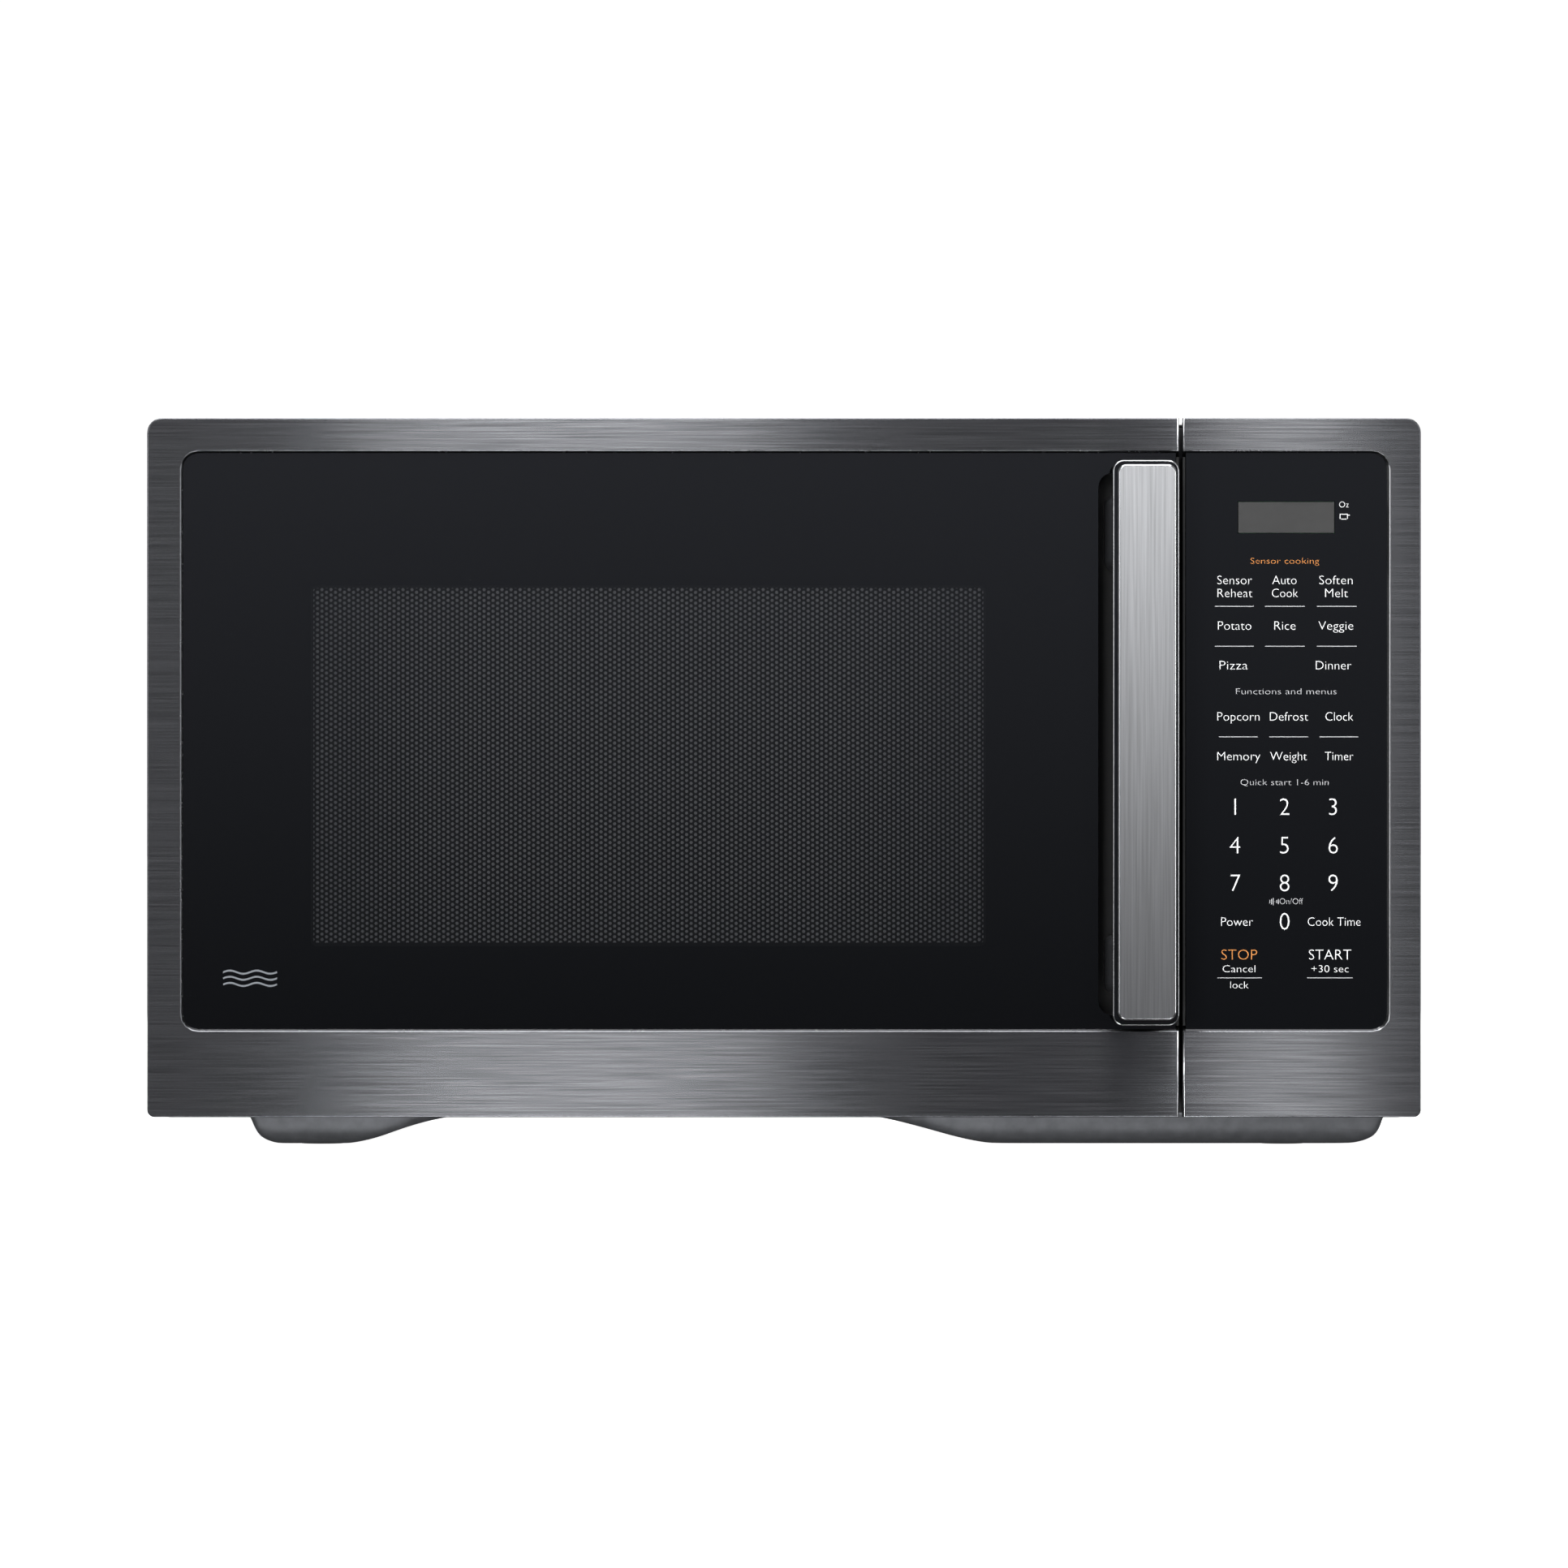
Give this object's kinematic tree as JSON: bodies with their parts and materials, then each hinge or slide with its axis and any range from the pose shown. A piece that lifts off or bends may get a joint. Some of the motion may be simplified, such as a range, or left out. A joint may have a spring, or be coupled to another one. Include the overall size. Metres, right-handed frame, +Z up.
{
  "type": "microwave oven",
  "caption": "Countertop microwave oven with a side-hinged glass door, tall pull handle, touch controls and a glass turntable on a roller ring.",
  "frame": {"origin": "on the worktop, under the middle of the overall box", "axes": "-Y towards the user, the side with the door; +X to the user's right, the side with the controls; +Z up"},
  "size_m": [0.52, 0.434, 0.298],
  "materials": {
    "black_stainless": "brushed dark stainless, grain across",
    "stainless": "brushed stainless, grain up and down",
    "black_glass": "black-printed glass, polished",
    "clear_glass": "clear glass",
    "black_gloss": "polished black",
    "black_matt": "fine matt black",
    "grey_lens": "smoked grey lens",
    "case_paint": "charcoal powder coat",
    "screen_paint": "black enamel on steel",
    "cavity_paint": "light grey enamel",
    "zinc_steel": "zinc-plated sheet steel",
    "winding": "varnished copper windings",
    "aluminium": "bright sheet",
    "mica": "mica sheet",
    "white_plastic": "natural white moulding",
    "board": "green circuit board",
    "rubber": "moulded rubber"
  },
  "bodies": {
    "chassis": {"outer_case": "case_paint", "base_plate": "zinc_steel", "rear_cover": "zinc_steel", "mains_bush": "black_matt", "front_plate": "case_paint", "cavity_wrap": "cavity_paint", "cavity_floor": "cavity_paint", "cavity_rear_wall": "cavity_paint", "foot_pad_front_left": "rubber", "foot_pad_rear_left": "rubber", "foot_pad_front_right": "rubber", "foot_pad_rear_right": "rubber", "case_screw_1": "zinc_steel", "case_screw_2": "zinc_steel", "case_screw_3": "zinc_steel", "case_screw_4": "zinc_steel", "hinge_bracket_upper": "zinc_steel", "hinge_bracket_lower": "zinc_steel", "waveguide": "aluminium", "waveguide_cover": "mica", "magnetron": "aluminium", "transformer_core": "zinc_steel", "transformer_coils": "winding", "capacitor": "aluminium", "filter_board": "board", "oven_lamp": "white_plastic", "fan_baffle": "white_plastic", "fan_motor": "zinc_steel", "interlock_bracket": "white_plastic", "primary_switch": "black_matt", "secondary_switch": "black_matt", "monitor_switch": "black_matt", "control_trim": "black_stainless", "control_glass": "black_glass", "display_lens": "grey_lens", "touch_film": "black_matt", "control_housing": "black_matt", "control_board": "board", "turntable_motor": "zinc_steel"},
    "door": {"door_trim": "black_stainless", "door_glass": "black_glass", "door_shell": "black_gloss", "door_screen": "screen_paint", "door_liner": "black_matt", "door_inner_window": "clear_glass", "handle": "black_gloss", "handle_plate": "stainless", "handle_screw_1": "zinc_steel", "handle_screw_2": "zinc_steel", "latch_spring": "zinc_steel"},
    "latch": {"latch": "white_plastic"},
    "turntable": {"glass_tray": "clear_glass", "drive_hub": "white_plastic"},
    "roller_ring": {"roller_ring": "white_plastic"},
    "first_roller": {"roller_1": "white_plastic"},
    "second_roller": {"roller_2": "white_plastic"},
    "third_roller": {"roller_3": "white_plastic"},
    "fan": {"fan_wheel": "black_matt"},
    "lever": {"switch_lever": "white_plastic"}
  },
  "joints": [
    {"name": "door_swing", "type": "hinge", "parent": "chassis", "child": "door", "pos_m": [-0.2525, -0.154, 0.155], "axis": [0, 0, -1], "range_deg": [0, 110]},
    {"name": "latch_lift", "type": "slide", "parent": "door", "child": "latch", "axis": [0, 0, 1], "range_m": [0, 0.004], "stiffness_N_per_m": 400, "springref_m": -0.004, "deforming": ["latch_spring"]},
    {"name": "turntable_spin", "type": "hinge", "parent": "chassis", "child": "turntable", "pos_m": [-0.0555, 0.027, 0.05], "axis": [0, 0, 1], "continuous": true},
    {"name": "ring_spin", "type": "hinge", "parent": "chassis", "child": "roller_ring", "pos_m": [-0.0555, 0.027, 0.0439], "axis": [0, 0, 1], "continuous": true},
    {"name": "first_roller_spin", "type": "hinge", "parent": "roller_ring", "child": "first_roller", "pos_m": [-0.0555, 0.1413, 0.0439], "axis": [0, 1, 0], "continuous": true},
    {"name": "second_roller_spin", "type": "hinge", "parent": "roller_ring", "child": "second_roller", "pos_m": [-0.15449, -0.03015, 0.0439], "axis": [-0.866, -0.5, 0], "continuous": true},
    {"name": "third_roller_spin", "type": "hinge", "parent": "roller_ring", "child": "third_roller", "pos_m": [0.04349, -0.03015, 0.0439], "axis": [0.866, -0.5, 0], "continuous": true},
    {"name": "fan_spin", "type": "hinge", "parent": "chassis", "child": "fan", "pos_m": [0.19, 0.163, 0.18], "axis": [0, 1, 0], "continuous": true},
    {"name": "lever_tilt", "type": "hinge", "parent": "chassis", "child": "lever", "pos_m": [0.1565, -0.1083, 0.098], "axis": [1, 0, 0], "range_deg": [-8, 8], "stiffness_Nm_per_rad": 0.02}
  ],
  "couplings": [
    {"joint": "ring_spin", "follows": "turntable_spin", "ratio": 0.5},
    {"joint": "first_roller_spin", "follows": "turntable_spin", "ratio": -8.6591},
    {"joint": "second_roller_spin", "follows": "turntable_spin", "ratio": -8.6591},
    {"joint": "third_roller_spin", "follows": "turntable_spin", "ratio": -8.6591}
  ]
}
